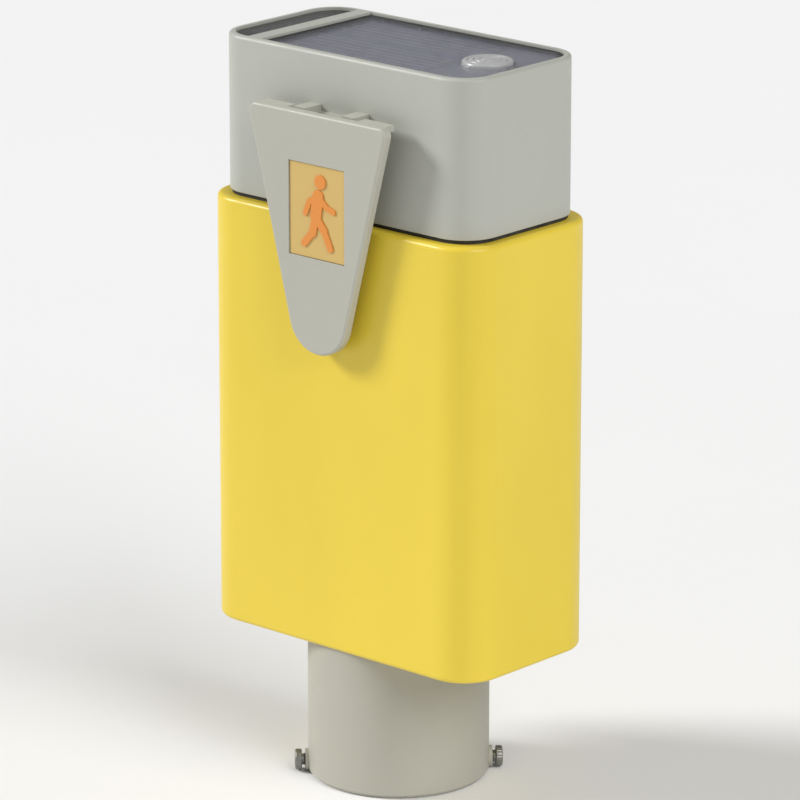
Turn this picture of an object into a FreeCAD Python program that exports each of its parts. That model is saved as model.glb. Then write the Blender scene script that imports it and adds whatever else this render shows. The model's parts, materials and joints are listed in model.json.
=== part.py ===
import FreeCAD, Part
import Sketcher
import math
import os
import re

# A push-to-cross unit for a pedestrian light. A yellow housing stands on a grey tube that slips
# over a steel post. A grey cap closes it and carries a solar panel. A tapered paddle hangs on a
# pin in front of the cap, and pressing it moves a plunger that works a switch inside.
# Millimetres. +Z is up, the paddle is on the -Y side, and the origin is the centre of the tube's mouth.

doc = FreeCAD.newDocument("CrossingUnit")

# ------------------------------------------------------------------ driving sizes

SIZES = (
    ("post_radius", 30.15, "outside radius of the steel post"),
    ("post_gap", 0.35, "radial clearance of the post in the socket"),
    ("tube_wall", 4.5, "wall of the base tube"),
    ("tube_length", 57.5, "base tube below the housing"),
    ("socket_depth", 50.0, "how far the post goes in"),
    ("spigot_radius", 20.0, "solid spigot of the tube, through the housing floor"),
    ("mouth_bevel", 1.5, "bevel round the outside of the tube's mouth"),
    ("lug_radius", 4.2, "round boss under each clamp screw"),
    ("lug_reach", 1.2, "how far that boss stands out of the tube"),
    ("lug_height", 4.3, "height of the clamp screws above the mouth"),
    ("clamp_radius", 2.5, "clamp screw thread"),
    ("clamp_head", 4.0, "clamp screw head radius"),
    ("clamp_headlength", 2.6, "clamp screw head length"),
    ("clamp_travel", 1.4, "how far a clamp screw still turns in"),
    ("body_length", 136.0, "housing, side to side"),
    ("body_depth", 74.0, "housing, front to back"),
    ("body_height", 168.5, "housing, floor to seam"),
    ("body_corner", 16.0, "upright corners of the housing"),
    ("body_wall", 3.0, "housing wall"),
    ("floor_wall", 4.0, "housing floor"),
    ("body_round", 2.0, "rounding of the housing's top and bottom edges"),
    ("collar_height", 12.0, "collar that stands up inside the cap"),
    ("collar_wall", 2.4, "wall of that collar"),
    ("collar_gap", 0.3, "gap between the collar and the cap"),
    ("seam_gap", 1.6, "seal between the housing and the cap"),
    ("cap_inset", 4.0, "step from the housing's side in to the cap's"),
    ("cap_height", 60.4, "cap above the seal"),
    ("cap_wall", 2.8, "cap wall"),
    ("cap_round", 1.4, "rounding of the cap's top edge"),
    ("top_wall", 3.0, "cap top under the solar panel"),
    ("recess_depth", 3.4, "depth of the recess in the cap's top"),
    ("rim_width", 2.6, "rim round that recess"),
    ("rib_inset", 19.0, "rib across the recess, from the left end of the cap"),
    ("rib_width", 6.5, "width of that rib"),
    ("fit_gap", 0.3, "gap round a piece that lies in a recess"),
    ("back_sheet", 1.0, "solar backplate"),
    ("cell_sheet", 0.3, "solar cell"),
    ("glass_sheet", 1.2, "solar cover glass"),
    ("cell_gap", 1.2, "gap between solar cells"),
    ("window_sheet", 2.4, "smoked window over the signal diodes"),
    ("diode_radius", 2.4, "signal diode"),
    ("lens_inset", 20.0, "status lens, from the right end of the cap"),
    ("lens_radius", 10.4, "status lens"),
    ("lens_stem", 7.8, "stem of the lens through the cap's top"),
    ("lens_crown", 3.9, "height of the lens above the recess floor"),
    ("paddle_rise", 42.0, "top edge of the paddle above the seam"),
    ("paddle_half", 35.0, "half the width of its top edge"),
    ("tip_drop", 50.0, "lowest point of the paddle below the seam"),
    ("tip_radius", 14.5, "round tip of the paddle"),
    ("paddle_sheet", 3.6, "thickness of the paddle"),
    ("paddle_space", 5.0, "gap between the paddle and the housing"),
    ("paddle_corner", 3.0, "top corners of the paddle"),
    ("paddle_round", 1.1, "rounding of the paddle's front edge"),
    ("lip_depth", 4.5, "lips that turn back from the top edge of the paddle"),
    ("lip_sheet", 2.4, "thickness of those lips"),
    ("lip_start", 17.6, "inner end of each lip"),
    ("rib_sheet", 1.6, "stiffening ribs behind the paddle"),
    ("rib_reach", 1.5, "how far they stand out"),
    ("badge_length", 28.0, "badge recess, side to side"),
    ("badge_height", 36.0, "badge recess, bottom to top"),
    ("badge_rise", 5.0, "middle of the badge above the seam"),
    ("badge_depth", 1.2, "depth of the badge recess"),
    ("badge_sheet", 0.7, "badge plate"),
    ("figure_sheet", 0.5, "raised walking figure on the badge"),
    ("pin_rise", 33.5, "hinge pin above the seam"),
    ("pin_radius", 1.5, "hinge pin"),
    ("pin_back", 3.4, "pin axis behind the back of the paddle"),
    ("pin_gap", 0.05, "running clearance of the paddle on its pin"),
    ("seat_gap", 0.02, "clearance of a piece that sits in its hole"),
    ("knuckle_radius", 2.8, "paddle knuckle round the pin"),
    ("knuckle_half", 8.6, "half the length of that knuckle"),
    ("ear_start", 9.0, "inner face of a bracket ear"),
    ("ear_width", 6.0, "width of a bracket ear"),
    ("ear_rise", 9.0, "top of an ear above the pin"),
    ("bracket_length", 46.0, "hinge bracket, side to side"),
    ("bracket_sheet", 2.2, "hinge bracket plate"),
    ("plunger_drop", 21.0, "plunger below the seam"),
    ("plunger_radius", 3.0, "plunger stem"),
    ("slide_gap", 0.05, "running clearance of the plunger in its bush"),
    ("bush_radius", 7.0, "barrel of the plunger bush"),
    ("bush_flange", 9.0, "flange of the plunger bush"),
    ("flange_sheet", 1.2, "thickness of that flange"),
    ("plate_back", 21.0, "switch plate behind the housing's front face"),
    ("plate_sheet", 1.5, "switch plate"),
    ("spring_radius", 4.4, "return spring, centre of the wire"),
    ("wire_radius", 0.45, "return spring wire"),
    ("button_radius", 2.0, "switch button"),
    ("gasket_sheet", 1.5, "gasket on the housing floor"),
    ("flange_gap", 11.0, "housing wall to the edge of the plate that holds the tube, at the sides"),
    ("flange_side", 3.0, "the same gap at the front and back"),
    ("flange_thick", 4.0, "thickness of that plate"),
    ("cell_radius", 9.1, "battery cell"),
    ("cell_length", 65.0, "battery cell"),
    ("cell_pitch", 20.0, "spacing of the battery cells"),
    ("tube_screw_offset", 11.0, "screws from the plate down into the tube, each way from the centre"),
    ("hook_inset", 26.0, "cap hooks and cap screws, from the ends of the cap"),
    ("bracket_screw_offset", 19.2, "hinge bracket screws, each side of the centre"),
    ("pillar_offset", 16.0, "switch plate pillars, each side of the centre"),
    ("board_sheet", 1.6, "circuit boards"),
)

sheet = doc.addObject("Spreadsheet::Sheet", "Sheet")
size = {}
for row, (alias, number, note) in enumerate(SIZES, 1):
    sheet.set(f"A{row}", note)
    sheet.set(f"B{row}", str(number))
    sheet.setAlias(f"B{row}", alias)
    size[alias] = number
doc.recompute()

# Heights and faces that several pieces share, as formulas of the driving sizes.
TUBE_BORE = "(post_radius + post_gap)"
TUBE_OUT = f"({TUBE_BORE} + tube_wall)"
FLOOR_Z = "(tube_length + floor_wall)"
PLATE_Z = f"({FLOOR_Z} + gasket_sheet)"
PLATE_TOP = f"({PLATE_Z} + flange_thick)"
SEAM_Z = "(tube_length + body_height)"
CAP_Z = f"({SEAM_Z} + seam_gap)"
TOP_Z = f"({CAP_Z} + cap_height)"
RECESS_Z = f"({TOP_Z} - recess_depth)"
CEILING_Z = f"({RECESS_Z} - top_wall)"
BODY_FRONT = "(-body_depth / 2)"
INNER_FRONT = f"({BODY_FRONT} + body_wall)"
CAP_LENGTH = "(body_length - 2 * cap_inset)"
CAP_DEPTH = "(body_depth - 2 * cap_inset)"
CAP_CORNER = "(body_corner - cap_inset / 2)"
CAP_FRONT = f"(-{CAP_DEPTH} / 2)"
CAP_INNER = f"({CAP_DEPTH} / 2 - cap_wall)"
COLLAR_OUT = f"({CAP_INNER} - collar_gap)"
PADDLE_BACK = f"({BODY_FRONT} - paddle_space)"
PADDLE_FRONT = f"({PADDLE_BACK} - paddle_sheet)"
PIN_Y = f"({PADDLE_BACK} + pin_back)"
PIN_Z = f"({SEAM_Z} + pin_rise)"
TIP_MIDDLE = f"({SEAM_Z} - tip_drop + tip_radius)"
BADGE_Z = f"({SEAM_Z} + badge_rise)"
PLUNGER_Z = f"({SEAM_Z} - plunger_drop)"
LENS_X = f"({CAP_LENGTH} / 2 - lens_inset)"
RIB_X = f"(-{CAP_LENGTH} / 2 + rib_inset)"
HOOK_X = f"({CAP_LENGTH} / 2 - hook_inset)"
FLANGE_LENGTH = "(body_length - 2 * body_wall - 2 * flange_gap)"
FLANGE_DEPTH = "(body_depth - 2 * body_wall - 2 * flange_side)"
SWITCH_PLATE_Y = f"({BODY_FRONT} + plate_back)"
SWITCH_Y = f"({SWITCH_PLATE_Y} + plate_sheet)"
COLLAR_LENGTH = f"({CAP_LENGTH} - 2 * cap_wall - 2 * collar_gap)"
COLLAR_CORNER = f"({CAP_CORNER} - cap_wall - collar_gap)"
CAP_SCREW_Z = f"({SEAM_Z} + 7)"
RIB_LEFT = f"({RIB_X} - rib_width / 2)"
RIB_RIGHT = f"({RIB_X} + rib_width / 2)"
STRIP_MIDDLE = f"((-{CAP_LENGTH} / 2 + rim_width + {RIB_LEFT}) / 2)"
STRIP_REACH = f"({CAP_DEPTH} / 2 - rim_width - 10)"
CELL_SPAN = f"({LENS_X} - lens_radius - 6 - {RIB_RIGHT})"
RIB_LENGTH = f"({PIN_Z} - knuckle_radius - 8 - {TIP_MIDDLE})"
PADDLE_TOP = f"({SEAM_Z} + paddle_rise)"
COLLAR_START = "(paddle_space + body_wall + 2.5)"
PLUNGER_END = "(paddle_space + plate_back + 1)"
BOOT_END = "(paddle_space - flange_sheet - 0.05)"
BOOT_MIDDLE = f"((1.9 + {BOOT_END}) / 2)"
BOOT_LOW = f"({BOOT_END} - 0.4)"
LUG_ANGLES = {"left": 225, "right": 45}

# ------------------------------------------------------------------ helpers

X_AXIS = FreeCAD.Vector(1, 0, 0)
Y_AXIS = FreeCAD.Vector(0, 1, 0)
Z_AXIS = FreeCAD.Vector(0, 0, 1)
TURN = {
    "z": FreeCAD.Rotation(),
    "-z": FreeCAD.Rotation(X_AXIS, 180),
    "y": FreeCAD.Rotation(X_AXIS, -90),
    "-y": FreeCAD.Rotation(X_AXIS, 90),
    "x": FreeCAD.Rotation(Y_AXIS, 90),
}
ORIGIN = ("0", "0", "0")
parts = []


def link(formula):
    """Turn a formula of size names, which are all words joined by underscores, into an expression."""
    return re.sub(r"[a-z]+(?:_[a-z]+)+", lambda found: "Sheet." + found.group(0), formula)


def place(obj, at, turn=TURN["z"]):
    """Turn an object, then tie its position to the sheet."""
    obj.Placement = FreeCAD.Placement(FreeCAD.Vector(), turn)
    for letter, formula in zip("xyz", at):
        obj.setExpression(f"Placement.Base.{letter}", link(formula))
    return obj


def block(name, length, depth, height, at=ORIGIN):
    """A plain block, centred in plan on a point of its underside."""
    box = doc.addObject("Part::Box", name)
    box.setExpression("Length", link(length))
    box.setExpression("Width", link(depth))
    box.setExpression("Height", link(height))
    return place(box, (f"{at[0]} - ({length}) / 2", f"{at[1]} - ({depth}) / 2", at[2]))


def rod(name, radius, length, at=ORIGIN, turn=TURN["z"]):
    """A round bar that starts at a point."""
    bar = doc.addObject("Part::Cylinder", name)
    bar.setExpression("Radius", link(radius))
    bar.setExpression("Height", link(length))
    return place(bar, at, turn)


def hexagon(name, radius, length, at=ORIGIN, turn=TURN["z"]):
    """A six-sided bar, its radius measured over the corners."""
    bar = doc.addObject("Part::Prism", name)
    bar.Polygon = 6
    bar.setExpression("Circumradius", link(radius))
    bar.setExpression("Height", link(length))
    return place(bar, at, turn)


def fuse(name, pieces):
    whole = doc.addObject("Part::MultiFuse", name)
    whole.Shapes = pieces
    return whole


def cut(name, base, tools):
    """Take one or more tools out of a base."""
    result = doc.addObject("Part::Cut", name)
    result.Base = base
    result.Tool = tools[0] if len(tools) == 1 else fuse(name + "_tools", tools)
    return result


def common(name, first, second):
    result = doc.addObject("Part::Common", name)
    result.Base = first
    result.Tool = second
    return result


def group(name, pieces):
    """Several separate solids that make one node."""
    result = doc.addObject("Part::Compound", name)
    result.Links = pieces
    return result


def part(obj):
    """Keep an object as a finished sub-part, labelled with its own name."""
    obj.Label = obj.Name
    parts.append(obj)
    return obj


def body_sketch(body, name, role):
    """A sketch on one of a body's own origin planes."""
    sketch = body.newObject("Sketcher::SketchObject", name)
    plane = [face for face in body.Origin.OriginFeatures if face.Role == role][0]
    sketch.AttachmentSupport = [(plane, "")]
    sketch.MapMode = "FlatFace"
    return sketch


def tie(sketch, kind, *where, formula):
    """Add a dimension that follows the sheet."""
    index = sketch.addConstraint(Sketcher.Constraint(kind, *where, 1.0))
    sketch.setExpression(f"Constraints[{index}]", link(formula))


def tie_point(sketch, edge, point, across, up):
    """Hold a sketch point at two formulas, or on an axis where the formula is zero."""
    if across == "0":
        sketch.addConstraint(Sketcher.Constraint("PointOnObject", edge, point, -2))
    else:
        tie(sketch, "DistanceX", -1, 1, edge, point, formula=across)
    if up == "0":
        sketch.addConstraint(Sketcher.Constraint("PointOnObject", edge, point, -1))
    else:
        tie(sketch, "DistanceY", -1, 1, edge, point, formula=up)


def closed_outline(sketch, corners):
    """Straight lines from corner to corner, each corner held at its own two formulas."""
    count = len(corners)
    ring = [FreeCAD.Vector(math.cos(2 * math.pi * turn / count), math.sin(2 * math.pi * turn / count), 0)
            for turn in range(count)]
    for edge in range(count):
        sketch.addGeometry(Part.LineSegment(ring[edge], ring[(edge + 1) % count]))
    for edge, (across, up) in enumerate(corners):
        following = (edge + 1) % count
        sketch.addConstraint(Sketcher.Constraint("Coincident", edge, 2, following, 1))
        tie_point(sketch, edge, 1, across, up)


def edges_where(shape, test):
    """Names of the edges whose every vertex passes a test."""
    return [f"Edge{number}" for number, edge in enumerate(shape.Edges, 1)
            if all(test(vertex.Point) for vertex in edge.Vertexes)]


def round_edges(body, name, test, radius):
    """Round the edges of a body's present tip that pass a test."""
    doc.recompute()
    tip = body.Tip
    fillet = body.newObject("PartDesign::Fillet", name)
    fillet.Base = (tip, edges_where(tip.Shape, test))
    fillet.setExpression("Radius", link(radius))
    return fillet


def slab(name, length, depth, height, corner, at=ORIGIN, top=None, foot=None):
    """A block with rounded upright corners and, where asked, rounded top and bottom edges."""
    body = doc.addObject("PartDesign::Body", name)
    sketch = body_sketch(body, name + "_outline", "XY_Plane")
    half = (f"({length}) / 2", f"({depth}) / 2")
    closed_outline(sketch, [(f"{a}{half[0]}", f"{b}{half[1]}")
                            for a, b in (("", ""), ("-", ""), ("-", "-"), ("", "-"))])
    pad = body.newObject("PartDesign::Pad", name + "_pad")
    pad.Profile = sketch
    pad.setExpression("Length", link(height))
    doc.recompute()
    upright = [f"Edge{number}" for number, edge in enumerate(pad.Shape.Edges, 1)
               if abs(edge.Vertexes[0].Z - edge.Vertexes[1].Z) > 1e-6]
    corners = body.newObject("PartDesign::Fillet", name + "_corners")
    corners.Base = (pad, upright)
    corners.setExpression("Radius", link(corner))
    doc.recompute()
    high = pad.Shape.BoundBox.ZMax
    if top:
        round_edges(body, name + "_top", lambda point: abs(point.z - high) < 1e-6, top)
    if foot:
        round_edges(body, name + "_foot", lambda point: abs(point.z) < 1e-6, foot)
    return place(body, at)


def turned(name, outline, at=ORIGIN, turn=TURN["z"]):
    """A round piece: an outline of radius and height formulas, turned about its own axis."""
    body = doc.addObject("PartDesign::Body", name)
    sketch = body_sketch(body, name + "_outline", "XZ_Plane")
    closed_outline(sketch, outline)
    doc.recompute()
    revolution = body.newObject("PartDesign::Revolution", name + "_turned")
    revolution.Profile = sketch
    revolution.ReferenceAxis = (sketch, ["V_Axis"])
    revolution.Angle = 360
    return place(body, at, turn)


def screw(name, head_radius, head_length, shank_radius, shank_length, at, turn):
    """A round-headed screw with a six-sided socket, seated at a point, its head along the turn."""
    head = rod(name + "_head", head_radius, head_length)
    shank = rod(name + "_shank", shank_radius, shank_length, ("0", "0", f"-({shank_length})"))
    floor = ("0", "0", f"({head_length}) * 0.4")
    socket = hexagon(name + "_socket", f"({head_radius}) * 0.5", head_length, floor)
    return place(cut(name, fuse(name + "_solid", [head, shank]), [socket]), at, turn)


def corners_of(across, along):
    """The four corners of a pattern about the centre, as formulas."""
    return [(f"{a}({across})", f"{b}({along})") for a in ("", "-") for b in ("", "-")]


FLANGE_CORNERS = corners_of(f"{FLANGE_LENGTH} / 2 - 8", f"{FLANGE_DEPTH} / 2 - 9")
TUBE_CORNERS = corners_of("tube_screw_offset", "tube_screw_offset")

# ------------------------------------------------------------------ base tube and what holds it

def base_tube():
    """A cup that slips over the post, with a spigot through the floor and a boss for each screw."""
    outline = [
        (TUBE_BORE, "0"), (f"{TUBE_OUT} - mouth_bevel", "0"), (TUBE_OUT, "mouth_bevel"),
        (TUBE_OUT, "tube_length"), ("spigot_radius", "tube_length"), ("spigot_radius", FLOOR_Z),
        ("0", FLOOR_Z), ("0", "socket_depth"), (TUBE_BORE, "socket_depth"),
    ]
    cup = turned("tube_cup", outline)
    rough = [cup]
    holes = [rod("vent_hole", "6", "tube_length", ("0", "0", "socket_depth - 1"))]
    for side, angle in LUG_ANGLES.items():
        start = radial(f"{TUBE_BORE} + 1", angle, "lug_height")
        turn = FreeCAD.Rotation(Z_AXIS, angle) * TURN["x"]
        rough.append(rod(f"lug_{side}", "lug_radius", "tube_wall + lug_reach - 1", start, turn))
        inside = radial(f"{TUBE_BORE} - 2", angle, "lug_height")
        hole_length = "tube_wall + lug_reach + 4"
        holes.append(rod(f"lug_hole_{side}", "clamp_radius + seat_gap", hole_length, inside, turn))
    for number, (across, along) in enumerate(TUBE_CORNERS):
        holes.append(rod(f"tube_thread_{number}", "2.5", "9", (across, along, f"{FLOOR_Z} - 8")))
    part(cut("base_tube", fuse("tube_rough", rough), holes))


def radial(distance, angle, up):
    """A point at a distance from the axis, in the direction of an angle seen from above."""
    return (f"({distance}) * cos({angle})", f"({distance}) * sin({angle})", up)


def clamp_screws():
    """Two screws that turn in and grip the post; at rest their tips are flush with the bore."""
    for side, angle in LUG_ANGLES.items():
        outside = f"{TUBE_OUT} + lug_reach + clamp_travel"
        turn = FreeCAD.Rotation(Z_AXIS, angle) * TURN["x"]
        length = "tube_wall + lug_reach + clamp_travel - 0.3"
        part(screw(f"clamp_screw_{side}", "clamp_head", "clamp_headlength", "clamp_radius", length,
                   radial(outside, angle, "lug_height"), turn))


def tube_fixings():
    """The plate inside the housing that the tube is screwed to, its gasket and its screws."""
    gasket = slab("gasket_slab", FLANGE_LENGTH, FLANGE_DEPTH, "gasket_sheet", "8", ("0", "0", FLOOR_Z))
    openings = [rod("gasket_opening", "spigot_radius + 1", "gasket_sheet", ("0", "0", FLOOR_Z))]
    plate = slab("plate_slab", FLANGE_LENGTH, FLANGE_DEPTH, "flange_thick", "8", ("0", "0", PLATE_Z))
    bores = [rod("plate_opening", "10", "flange_thick", ("0", "0", PLATE_Z))]
    corner_screws, washers, tube_screws = [], [], []
    washer_sheet = 0.8
    washer_foot = f"tube_length - {washer_sheet}"
    grip = f"{PLATE_TOP} - tube_length + {washer_sheet}"
    for number, (across, along) in enumerate(FLANGE_CORNERS):
        openings.append(rod(f"gasket_hole_{number}", "2.4", "gasket_sheet", (across, along, FLOOR_Z)))
        bores.append(rod(f"plate_hole_{number}", "2 + seat_gap", "flange_thick", (across, along, PLATE_Z)))
        seat = (across, along, washer_foot)
        washer = rod(f"washer_{number}_disc", "4.6", str(washer_sheet), seat)
        washer_hole = rod(f"washer_{number}_hole", "2.2", str(washer_sheet), seat)
        washers.append(cut(f"washer_{number}", washer, [washer_hole]))
        corner_screws.append(screw(f"flange_screw_{number}", "3.6", "2.4", "2", grip, seat, TURN["-z"]))
    for number, (across, along) in enumerate(TUBE_CORNERS):
        bores.append(rod(f"plate_bore_{number}", "2.7", "flange_thick", (across, along, PLATE_Z)))
        tube_screws.append(screw(f"tube_screw_{number}", "4.2", "3.4", "2.5 - seat_gap", "flange_thick + 7",
                                 (across, along, PLATE_TOP), TURN["z"]))
    part(cut("flange_gasket", gasket, openings))
    part(cut("tube_plate", plate, bores))
    part(group("flange_washers", washers))
    part(group("flange_screws", corner_screws))
    part(group("tube_screws", tube_screws))


def vent_plug():
    """A breather screwed into the end of the tube from inside the housing."""
    outline = [
        ("0", "-7"), ("6 - seat_gap", "-7"), ("6 - seat_gap", "0"), ("9", "0"), ("9", "3.4"),
        ("7.6", "4.6"), ("0", "4.6"),
    ]
    part(turned("vent_plug", outline, ("0", "0", FLOOR_Z)))


# ------------------------------------------------------------------ housing and cap

def housing():
    """The yellow box: one wall all round, a floor, and a collar that stands up inside the cap."""
    shell = slab("housing_outside", "body_length", "body_depth", "body_height", "body_corner",
                 ("0", "0", "tube_length"), top="body_round", foot="body_round")
    collar_depth = f"2 * {COLLAR_OUT}"
    collar = slab("collar_outside", COLLAR_LENGTH, collar_depth, "collar_height + 6", COLLAR_CORNER,
                  ("0", "0", f"{SEAM_Z} - 6"))
    hollow = slab("housing_inside", "body_length - 2 * body_wall", "body_depth - 2 * body_wall",
                  "body_height - floor_wall - 4", "body_corner - body_wall", ("0", "0", FLOOR_Z))
    mouth = slab("collar_inside", f"{COLLAR_LENGTH} - 2 * collar_wall", f"{collar_depth} - 2 * collar_wall",
                 "collar_height + 12", f"{COLLAR_CORNER} - collar_wall", ("0", "0", f"{SEAM_Z} - 8"))
    tools = [hollow, mouth, rod("spigot_hole", "spigot_radius + 0.2", "floor_wall + 2",
                                ("0", "0", "tube_length - 1"))]
    for number, (across, along) in enumerate(FLANGE_CORNERS):
        below = (across, along, "tube_length - 1")
        tools.append(rod(f"floor_hole_{number}", "2.3", "floor_wall + 2", below))
    tools.append(rod("bush_hole", "bush_radius + 0.1", "body_wall + 2",
                     ("0", f"{BODY_FRONT} - 1", PLUNGER_Z), TURN["y"]))
    for side in ("", "-"):
        across = f"{side}{HOOK_X}"
        tools.append(block(f"hook_slot{side}", "9", "collar_wall + 2", "4.2",
                           (across, f"-{COLLAR_OUT} + collar_wall / 2", f"{SEAM_Z} + 3.2")))
        tools.append(rod(f"insert_seat{side}", "2.9 + seat_gap", "9",
                         (across, f"{COLLAR_OUT} - 7", CAP_SCREW_Z), TURN["y"]))
    bosses = []
    for side in ("", "-"):
        bosses.append(block(f"insert_boss{side}", "10", "8", "collar_height + 4",
                            (f"{side}{HOOK_X}", f"{COLLAR_OUT} - 4", f"{SEAM_Z} - 4")))
    walls = cut("housing_walls", fuse("housing_rough", [shell, collar]), tools[:3])
    part(cut("housing", fuse("housing_bossed", [walls] + bosses), tools[3:]))


def recess_piece(name, thick, foot, low_x, high_x, gap="fit_gap"):
    """A sheet that lies in the cap's recess: the recess outline, less a gap, between two walls."""
    length = f"{CAP_LENGTH} - 2 * rim_width - 2 * ({gap})"
    depth = f"{CAP_DEPTH} - 2 * rim_width - 2 * ({gap})"
    outline = slab(name + "_outline_slab", length, depth, thick, f"{CAP_CORNER} - rim_width - ({gap})",
                   ("0", "0", foot))
    window = block(name + "_span", f"({high_x}) - ({low_x})", "body_depth", thick,
                   (f"(({high_x}) + ({low_x})) / 2", "0", foot))
    return common(name, outline, window)


def cap():
    """The grey cap: a shell with a recess in its top, split by a rib, and openings under each part."""
    shell = slab("cap_outside", CAP_LENGTH, CAP_DEPTH, "cap_height", CAP_CORNER, ("0", "0", CAP_Z),
                 top="cap_round")
    hollow = slab("cap_inside", f"{CAP_LENGTH} - 2 * cap_wall", f"{CAP_DEPTH} - 2 * cap_wall",
                  "cap_height - recess_depth - top_wall", f"{CAP_CORNER} - cap_wall", ("0", "0", CAP_Z))
    left = recess_piece("recess_left", "recess_depth + 1", RECESS_Z, "-body_length / 2", RIB_LEFT, "0")
    right = recess_piece("recess_right", "recess_depth + 1", RECESS_Z, RIB_RIGHT, "body_length / 2", "0")
    tools = [hollow, left, right]
    tools.append(block("diode_slot", "7", f"{STRIP_REACH} * 2", "top_wall + 2",
                       (STRIP_MIDDLE, "0", f"{CEILING_Z} - 1")))
    tools.append(rod("lens_hole", "lens_stem + fit_gap", "top_wall + 2", (LENS_X, "0", f"{CEILING_Z} - 1")))
    tools.append(rod("lead_hole", "3", "top_wall + 2", ("0", "0", f"{CEILING_Z} - 1")))
    for side in ("", "-"):
        tools.append(rod(f"bracket_hole{side}", "1.7", "cap_wall + 2",
                         (f"{side}(bracket_screw_offset)", f"{CAP_FRONT} - 1", PIN_Z), TURN["y"]))
        tools.append(rod(f"cap_screw_hole{side}", "2.2", "cap_wall + 2",
                         (f"{side}{HOOK_X}", f"{CAP_INNER} - 1", CAP_SCREW_Z), TURN["y"]))
    hooks = [block(f"hook{side}", "8", "2.6", "3",
                   (f"{side}{HOOK_X}", f"-{CAP_INNER} + 0.8", f"{SEAM_Z} + 3.8")) for side in ("", "-")]
    part(fuse("cap", [cut("cap_shell", shell, tools)] + hooks))


def cap_fixings():
    """Seal in the seam, and two screws at the back that go into brass inserts in the collar."""
    ring = slab("seal_outside", f"{CAP_LENGTH} - 1.6", f"{CAP_DEPTH} - 1.6", "seam_gap",
                f"{CAP_CORNER} - 0.8", ("0", "0", SEAM_Z))
    hole = slab("seal_inside", f"{COLLAR_LENGTH} + 0.4", f"2 * {COLLAR_OUT} + 0.4", "seam_gap + 2",
                f"{COLLAR_CORNER} + 0.2", ("0", "0", f"{SEAM_Z} - 1"))
    part(cut("cap_seal", ring, [hole]))
    screws, inserts = [], []
    for number, side in enumerate(("", "-")):
        across = f"{side}{HOOK_X}"
        screws.append(screw(f"cap_screw_{number}", "3.8", "2.2", "2", "cap_wall + collar_gap + 6",
                            (across, f"{CAP_DEPTH} / 2", CAP_SCREW_Z), TURN["y"]))
        seat = (across, f"{COLLAR_OUT} - 6.5", CAP_SCREW_Z)
        sleeve = rod(f"insert_{number}_sleeve", "2.9", "6.5", seat, TURN["y"])
        bore = rod(f"insert_{number}_bore", "2 + seat_gap", "6.5", seat, TURN["y"])
        inserts.append(cut(f"insert_{number}", sleeve, [bore]))
    part(group("cap_screws", screws))
    part(group("cap_inserts", inserts))


# ------------------------------------------------------------------ what lies in the cap's top

def solar_panel():
    """Backplate, cells, cover glass and the soft frame that seals the glass into the recess."""
    right = "body_length / 2"
    low = f"{RIB_RIGHT} + fit_gap"
    frame_gap = "fit_gap + 1.6"
    cells_z = f"{RECESS_Z} + back_sheet"
    glass_z = f"{cells_z} + cell_sheet"
    hole = rod("panel_hole", "lens_radius + fit_gap", "recess_depth", (LENS_X, "0", RECESS_Z))
    plate = recess_piece("backplate_sheet", "back_sheet", RECESS_Z, f"{low} + 1.6", right, frame_gap)
    lead = rod("plate_lead_hole", "3", "recess_depth", ("0", "0", RECESS_Z))
    part(cut("solar_backplate", plate, [hole, lead]))
    glass_hole = rod("glass_hole", "lens_radius + fit_gap", "recess_depth", (LENS_X, "0", RECESS_Z))
    glass = recess_piece("glass_pane", "glass_sheet", glass_z, f"{low} + 1.6", right, frame_gap)
    part(cut("solar_glass", glass, [glass_hole]))
    outside = recess_piece("frame_outside", "back_sheet + cell_sheet + glass_sheet", RECESS_Z, low, right)
    inside = recess_piece("frame_inside", "recess_depth", RECESS_Z, f"{low} + 1.6", right, frame_gap)
    part(cut("panel_gasket", outside, [inside]))
    cells = []
    pitch = f"({CELL_SPAN} / 5)"
    for column in range(5):
        for row in range(2):
            middle = f"{RIB_RIGHT} + 5 + {pitch} * {column + 0.5}"
            along = f"({CAP_DEPTH} / 4 - rim_width / 2 - 1.6) * {2 * row - 1}"
            cells.append(block(f"cell_{column}_{row}", f"{pitch} - cell_gap",
                               f"{CAP_DEPTH} / 2 - rim_width - 3.6 - cell_gap", "cell_sheet",
                               (middle, along, cells_z)))
    part(group("solar_cells", cells))


def signal_strip():
    """A smoked window in the left of the recess, and a board with five diodes under it."""
    edge = f"{RIB_LEFT} - fit_gap"
    part(recess_piece("window_strip", "window_sheet", RECESS_Z, "-body_length / 2", edge))
    part(block("strip_board", "9", f"{STRIP_REACH} * 2 + 6", "board_sheet",
               (f"{STRIP_MIDDLE} + 0.4", "0", f"{CEILING_Z} - board_sheet")))
    diodes = []
    for number in range(5):
        along = f"({STRIP_REACH} - diode_radius - 0.9) * {(number - 2) / 2}"
        spot = (STRIP_MIDDLE, along, CEILING_Z)
        diodes.append(rod(f"diode_{number}", "diode_radius", "top_wall - 0.4", spot))
    part(group("signal_diodes", diodes))


def status_lens():
    """A round lens that lies on the recess floor, its stem through the cap's top, over its own board."""
    outline = [
        ("0", "-top_wall + 0.8"), ("lens_stem", "-top_wall + 0.8"), ("lens_stem", "0"), ("lens_radius", "0"),
        ("lens_radius", "lens_crown - 0.8"), ("lens_radius - 1.4", "lens_crown"), ("0", "lens_crown"),
    ]
    part(turned("status_lens", outline, (LENS_X, "0", RECESS_Z)))
    part(block("lens_board", "24", "22", "board_sheet", (LENS_X, "0", f"{CEILING_Z} - board_sheet")))


# ------------------------------------------------------------------ paddle and its hinge

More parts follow.
